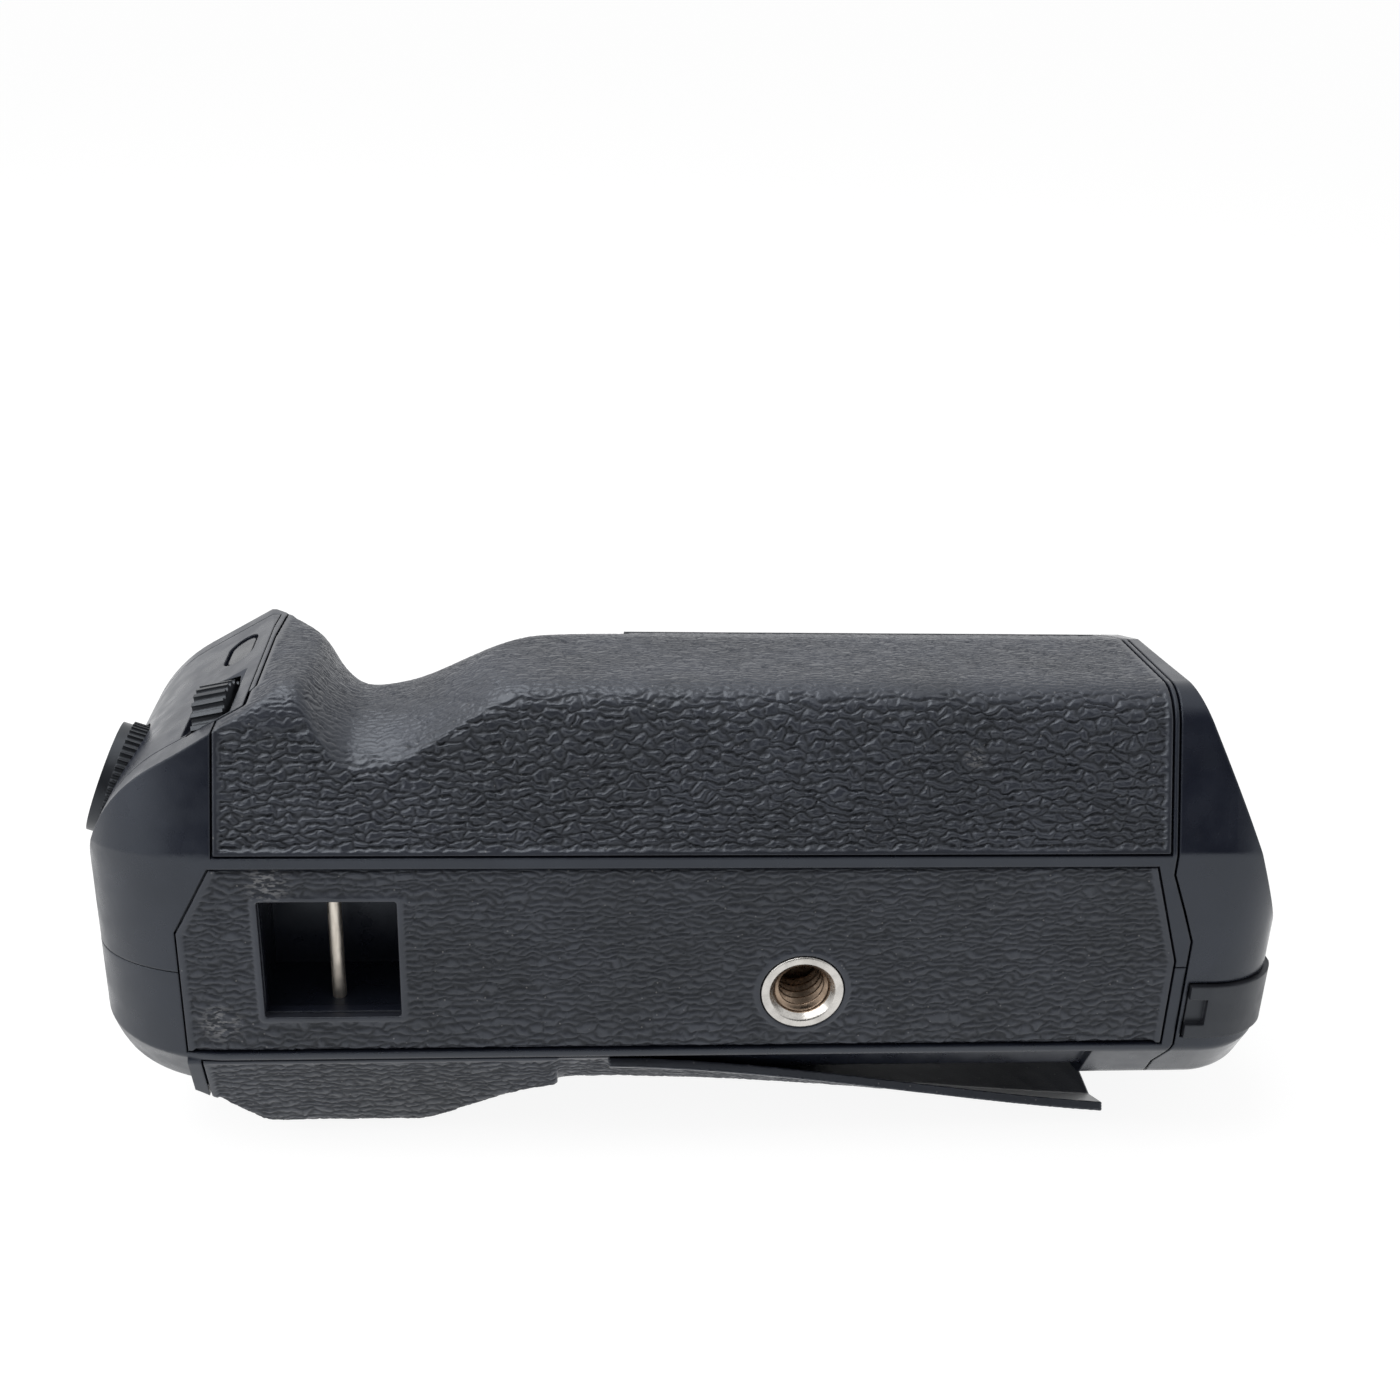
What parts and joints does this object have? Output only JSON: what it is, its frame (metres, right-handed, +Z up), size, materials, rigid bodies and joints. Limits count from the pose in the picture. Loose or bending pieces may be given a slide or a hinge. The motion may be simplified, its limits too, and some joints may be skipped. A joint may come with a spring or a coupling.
{
  "type": "camera battery grip",
  "caption": "Vertical battery grip for a camera, with shutter button, dials, finger groove, strap lug, tripod socket and a slide-out battery magazine.",
  "frame": {"origin": "under the middle of the grip's box, on the surface that it lies on", "axes": "+X towards the battery door, +Y towards the camera, +Z up, which is the grip's front side"},
  "size_m": [0.1396, 0.0442, 0.058],
  "materials": {
    "housing": "fine satin moulded plastic",
    "panel": "smooth satin-gloss moulded plastic",
    "leather": "leather-grained rubber skin",
    "seal": "soft black rubber",
    "inner_plastic": "plain black moulded plastic",
    "control": "knurled black plastic",
    "steel": "turned steel with a little wear",
    "plate_steel": "stamped steel",
    "spring": "spring steel",
    "brass": "turned brass",
    "contact": "gold-plated contact",
    "dark_screw": "blackened screw",
    "board": "green circuit board",
    "flex": "amber film cable"
  },
  "bodies": {
    "grip": {"front_housing": "housing", "rear_housing": "housing", "control_panel": "panel", "front_skin": "leather", "base_skin": "leather", "rear_skin": "leather", "mating_plate": "housing", "mating_pad": "seal", "tripod_socket": "steel", "base_chassis": "plate_steel", "strap_pocket": "housing", "strap_bar": "steel", "battery_well": "inner_plastic", "well_contacts": "contact", "contact_block": "inner_plastic", "contact_pins": "contact", "locating_pins": "steel", "plate_screws": "dark_screw", "screw_bush": "brass", "circuit_board": "board", "flex_cable": "flex", "button_boards": "board", "shutter_switch": "inner_plastic", "shutter_dome": "spring", "front_dial_axle": "steel", "rear_dial_axle": "steel", "dial_encoders": "inner_plastic", "lock_strike": "spring"},
    "fixing_wheel": {"fixing_wheel": "control", "fixing_screw": "steel"},
    "shutter_button": {"shutter_button": "panel"},
    "shutter_collar": {"shutter_collar": "control"},
    "front_dial": {"front_dial": "control"},
    "rear_dial": {"rear_dial": "control"},
    "function_button": {"function_button": "panel"},
    "exposure_button": {"exposure_button": "panel"},
    "focus_button": {"focus_button": "panel"},
    "magazine": {"magazine_end_cap": "housing", "cap_inner_plate": "inner_plastic", "magazine_tray": "inner_plastic", "battery_contacts": "contact", "pack_spring": "spring", "tray_screws": "dark_screw", "door_gasket": "seal", "dc_jack": "inner_plastic"},
    "door_lock": {"lock_knob": "control", "lock_cam": "spring", "key_pin": "steel"},
    "lock_key": {"lock_key": "steel"},
    "dc_cover": {"dc_port_cover": "seal"}
  },
  "joints": [
    {"name": "fixing_wheel_turn", "type": "hinge", "parent": "grip", "child": "fixing_wheel", "pos_m": [0.01336, 0.0096, 0.0165], "axis": [0, 1, 0], "continuous": true},
    {"name": "shutter_press", "type": "slide", "parent": "grip", "child": "shutter_button", "axis": [0.9397, 0, -0.342], "range_m": [0, 0.001], "stiffness_N_per_m": 700, "springref_m": -0.0006},
    {"name": "collar_turn", "type": "hinge", "parent": "grip", "child": "shutter_collar", "pos_m": [-0.06599, -0.0015, 0.04044], "axis": [-0.9397, 0, 0.342], "range_deg": [0, 40]},
    {"name": "front_dial_turn", "type": "hinge", "parent": "grip", "child": "front_dial", "pos_m": [-0.05161, -0.0069, 0.04636], "axis": [0.9781, 0, 0.2079], "continuous": true},
    {"name": "rear_dial_turn", "type": "hinge", "parent": "grip", "child": "rear_dial", "pos_m": [-0.04464, 0.01, 0.012], "axis": [0, 1, 0], "continuous": true},
    {"name": "function_press", "type": "slide", "parent": "grip", "child": "function_button", "axis": [0.5075, 0, -0.8616], "range_m": [0, 0.0006], "stiffness_N_per_m": 700, "springref_m": -0.0005},
    {"name": "exposure_press", "type": "slide", "parent": "grip", "child": "exposure_button", "axis": [0, 0, 1], "range_m": [0, 0.0006], "stiffness_N_per_m": 700, "springref_m": -0.0005},
    {"name": "focus_press", "type": "slide", "parent": "grip", "child": "focus_button", "axis": [0, 0, 1], "range_m": [0, 0.0006], "stiffness_N_per_m": 700, "springref_m": -0.0005},
    {"name": "magazine_slide", "type": "slide", "parent": "grip", "child": "magazine", "axis": [1, 0, 0], "range_m": [0, 0.076]},
    {"name": "lock_turn", "type": "hinge", "parent": "magazine", "child": "door_lock", "pos_m": [0.05796, 0.0035, 0.0205], "axis": [1, 0, 0], "range_deg": [0, 90]},
    {"name": "key_fold", "type": "hinge", "parent": "door_lock", "child": "lock_key", "pos_m": [0.06897, 0.0035, 0.0205], "axis": [0, 0, 1], "range_deg": [0, 90]},
    {"name": "dc_cover_open", "type": "hinge", "parent": "magazine", "child": "dc_cover", "pos_m": [0.06978, -0.0065, 0.02055], "axis": [0, 0, 1], "range_deg": [0, 100]}
  ]
}
